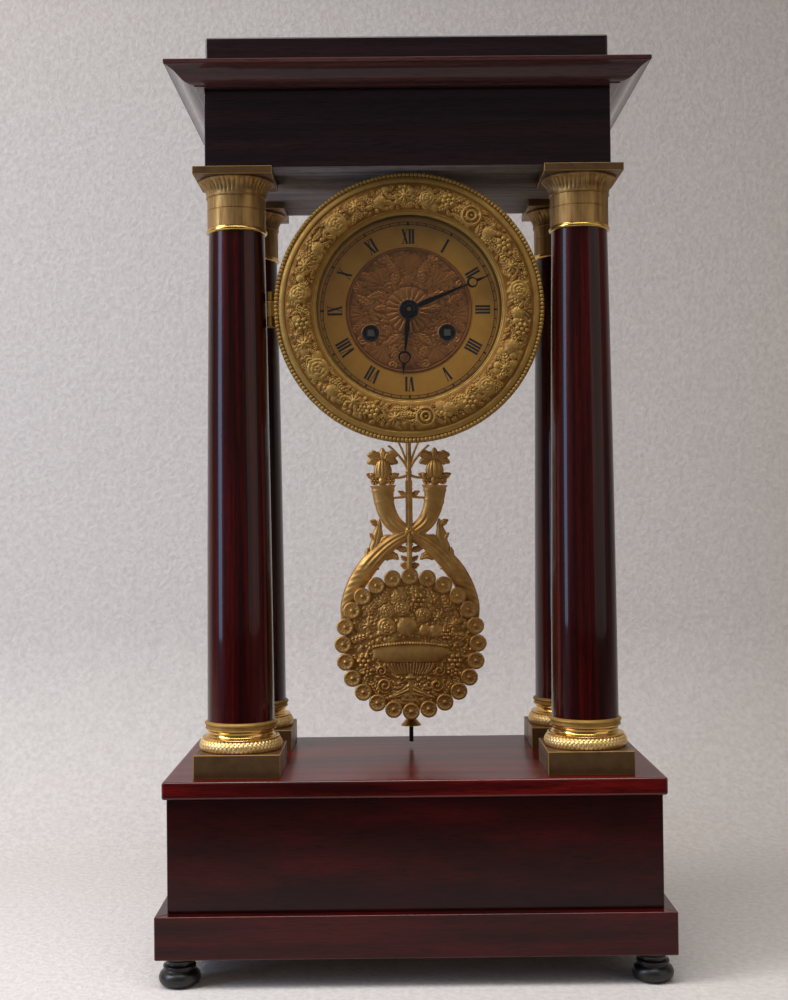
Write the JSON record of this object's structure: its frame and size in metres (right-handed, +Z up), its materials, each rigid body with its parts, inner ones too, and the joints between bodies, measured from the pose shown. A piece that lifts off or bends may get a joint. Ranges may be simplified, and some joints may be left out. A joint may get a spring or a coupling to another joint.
{
  "type": "portico mantel clock",
  "caption": "Mahogany portico mantel clock with gilt column mounts, a round gilt dial under a hinged bezel, an ornamental pendulum and a striking movement",
  "frame": {"origin": "on the floor under the middle of the clock, at the level of the soles of the feet", "axes": "X to the right of someone facing the dial, Y from the dial to the back, Z up"},
  "size_m": [0.26, 0.1484, 0.48],
  "materials": {
    "polished_mahogany": "french polished, high gloss",
    "dark_mahogany": "french polished, high gloss",
    "plain_pine": "plain sawn, matt",
    "ebonised_wood": "blackened, satin",
    "gilt_bronze": "fire gilt, matt with burnished parts",
    "patinated_brass": "aged, satin",
    "gilt_dial": "fine grained gilding",
    "relief_dial": "chased, aged gilding",
    "clear_glass": "clear, polished",
    "blued_steel": "blued, polished",
    "polished_steel": "polished",
    "clock_brass": "lacquered",
    "bell_bronze": "turned, polished",
    "silk_thread": "twisted silk"
  },
  "bodies": {
    "case": {"bun_feet": "ebonised_wood", "base_plinth": "polished_mahogany", "bottom_board": "plain_pine", "base_carcass": "polished_mahogany", "base_top": "polished_mahogany", "column_blocks": "patinated_brass", "column_bases": "gilt_bronze", "column_shafts": "polished_mahogany", "column_capitals": "gilt_bronze", "column_abaci": "patinated_brass", "tie_rods": "polished_steel", "soffit_board": "dark_mahogany", "frieze_carcass": "dark_mahogany", "cornice": "polished_mahogany", "top_cap": "polished_mahogany", "drum": "clock_brass", "drum_saddle": "plain_pine", "saddle_screws": "polished_steel", "bezel_seat": "gilt_bronze", "dial_plate": "gilt_dial", "dial_centre": "relief_dial", "front_plate": "clock_brass", "back_plate": "clock_brass", "plate_pillars": "clock_brass", "suspension_cock": "clock_brass", "bell": "bell_bronze", "bell_stand": "clock_brass", "bezel_hinge_pin": "polished_steel"},
    "bezel_door": {"bezel": "gilt_bronze", "bezel_glass": "clear_glass", "glass_ring": "clock_brass"},
    "minute_hand_work": {"minute_hand": "blued_steel", "cannon_pinion": "polished_steel"},
    "hour_hand_work": {"hour_hand": "blued_steel", "hour_wheel": "clock_brass"},
    "minute_wheel_body": {"minute_wheel": "clock_brass"},
    "going_barrel_body": {"going_barrel": "clock_brass", "going_mainspring": "polished_steel"},
    "going_arbor_body": {"going_winding_arbor": "polished_steel"},
    "going_click_body": {"going_click": "polished_steel"},
    "intermediate_body": {"intermediate_wheel": "clock_brass"},
    "centre_body": {"centre_wheel": "clock_brass"},
    "third_body": {"third_wheel": "clock_brass"},
    "escape_body": {"escape_wheel": "clock_brass"},
    "pallet_body": {"pallet_anchor": "polished_steel"},
    "strike_barrel_body": {"strike_barrel": "clock_brass", "strike_mainspring": "polished_steel"},
    "strike_arbor_body": {"strike_winding_arbor": "polished_steel"},
    "strike_click_body": {"strike_click": "polished_steel"},
    "strike_second_body": {"strike_second_wheel": "clock_brass", "count_wheel": "clock_brass"},
    "pin_wheel_body": {"pin_wheel": "clock_brass"},
    "locking_body": {"locking_wheel": "clock_brass"},
    "fly_body": {"fly": "polished_steel"},
    "hammer_body": {"hammer": "polished_steel"},
    "pendulum": {"silk_suspension": "silk_thread", "pendulum_rod": "polished_steel", "pendulum_horns": "gilt_bronze", "pendulum_bob": "gilt_bronze"},
    "rating_nut_body": {"rating_nut": "clock_brass"}
  },
  "joints": [
    {"name": "bezel_swing", "type": "hinge", "parent": "case", "child": "bezel_door", "pos_m": [-0.0722, -0.0445, 0.342], "axis": [0, 0, -1], "range_deg": [0, 90]},
    {"name": "minute_hand_turn", "type": "hinge", "parent": "case", "child": "minute_hand_work", "pos_m": [0, -0.041, 0.342], "axis": [0, 1, 0], "continuous": true},
    {"name": "minute_wheel_turn", "type": "hinge", "parent": "case", "child": "minute_wheel_body", "pos_m": [0, -0.03, 0.354], "axis": [0, 1, 0], "continuous": true},
    {"name": "hour_hand_turn", "type": "hinge", "parent": "case", "child": "hour_hand_work", "pos_m": [0, -0.038, 0.342], "axis": [0, 1, 0], "continuous": true},
    {"name": "escape_wheel_turn", "type": "hinge", "parent": "case", "child": "escape_body", "pos_m": [0, -0.005, 0.3605], "axis": [0, 1, 0], "continuous": true},
    {"name": "third_wheel_turn", "type": "hinge", "parent": "case", "child": "third_body", "pos_m": [-0.0123, -0.005, 0.3547], "axis": [0, 1, 0], "continuous": true},
    {"name": "centre_wheel_turn", "type": "hinge", "parent": "case", "child": "centre_body", "pos_m": [0, -0.005, 0.342], "axis": [0, 1, 0], "continuous": true},
    {"name": "intermediate_wheel_turn", "type": "hinge", "parent": "case", "child": "intermediate_body", "pos_m": [0.01624, -0.005, 0.35168], "axis": [0, 1, 0], "continuous": true},
    {"name": "going_barrel_turn", "type": "hinge", "parent": "case", "child": "going_barrel_body", "pos_m": [0.02, -0.005, 0.33], "axis": [0, 1, 0], "continuous": true},
    {"name": "going_wind", "type": "hinge", "parent": "case", "child": "going_arbor_body", "pos_m": [0.02, -0.038, 0.33], "axis": [0, 1, 0], "continuous": true},
    {"name": "going_click_lift", "type": "hinge", "parent": "case", "child": "going_click_body", "pos_m": [0.02909, -0.0295, 0.33525], "axis": [0, 1, 0], "range_deg": [0, 15], "stiffness_Nm_per_rad": 0.001},
    {"name": "fly_turn", "type": "hinge", "parent": "case", "child": "fly_body", "pos_m": [-0.00974, -0.005, 0.37427], "axis": [0, 1, 0], "continuous": true},
    {"name": "locking_wheel_turn", "type": "hinge", "parent": "case", "child": "locking_body", "pos_m": [-0.01964, -0.005, 0.37067], "axis": [0, 1, 0], "continuous": true},
    {"name": "pin_wheel_turn", "type": "hinge", "parent": "case", "child": "pin_wheel_body", "pos_m": [-0.02687, -0.005, 0.36035], "axis": [0, 1, 0], "continuous": true},
    {"name": "strike_second_turn", "type": "hinge", "parent": "case", "child": "strike_second_body", "pos_m": [-0.03262, -0.005, 0.34802], "axis": [0, 1, 0], "continuous": true},
    {"name": "strike_barrel_turn", "type": "hinge", "parent": "case", "child": "strike_barrel_body", "pos_m": [-0.02, -0.005, 0.33], "axis": [0, 1, 0], "continuous": true},
    {"name": "strike_wind", "type": "hinge", "parent": "case", "child": "strike_arbor_body", "pos_m": [-0.02, -0.038, 0.33], "axis": [0, 1, 0], "continuous": true},
    {"name": "strike_click_lift", "type": "hinge", "parent": "case", "child": "strike_click_body", "pos_m": [-0.02909, -0.0295, 0.33525], "axis": [0, -1, 0], "range_deg": [0, 15], "stiffness_Nm_per_rad": 0.001},
    {"name": "hammer_lift", "type": "hinge", "parent": "case", "child": "hammer_body", "pos_m": [-0.03668, -0.005, 0.36857], "axis": [0, 1, 0], "range_deg": [0, 14], "stiffness_Nm_per_rad": 0.01},
    {"name": "pendulum_swing", "type": "hinge", "parent": "case", "child": "pendulum", "pos_m": [0, 0.033, 0.3745], "axis": [0, 1, 0], "range_deg": [-4, 4]},
    {"name": "pallet_rock", "type": "hinge", "parent": "case", "child": "pallet_body", "pos_m": [0, -0.005, 0.3745], "axis": [0, 1, 0], "range_deg": [-4, 4]},
    {"name": "rating_nut_turn", "type": "hinge", "parent": "pendulum", "child": "rating_nut_body", "pos_m": [0, 0.033, 0.116], "axis": [0, 0, 1], "continuous": true}
  ],
  "couplings": [
    {"joint": "minute_wheel_turn", "follows": "minute_hand_turn", "ratio": -0.33333},
    {"joint": "hour_hand_turn", "follows": "minute_hand_turn", "ratio": 0.083333},
    {"joint": "third_wheel_turn", "follows": "escape_wheel_turn", "ratio": -0.11111},
    {"joint": "centre_wheel_turn", "follows": "escape_wheel_turn", "ratio": 0.0092593},
    {"joint": "intermediate_wheel_turn", "follows": "escape_wheel_turn", "ratio": -0.0015432},
    {"joint": "going_barrel_turn", "follows": "escape_wheel_turn", "ratio": 0.00024366},
    {"joint": "locking_wheel_turn", "follows": "fly_turn", "ratio": -0.14815},
    {"joint": "pin_wheel_turn", "follows": "fly_turn", "ratio": 0.024691},
    {"joint": "strike_second_turn", "follows": "fly_turn", "ratio": -0.0032922},
    {"joint": "strike_barrel_turn", "follows": "fly_turn", "ratio": 0.00051982},
    {"joint": "pallet_rock", "follows": "pendulum_swing", "ratio": 1}
  ]
}
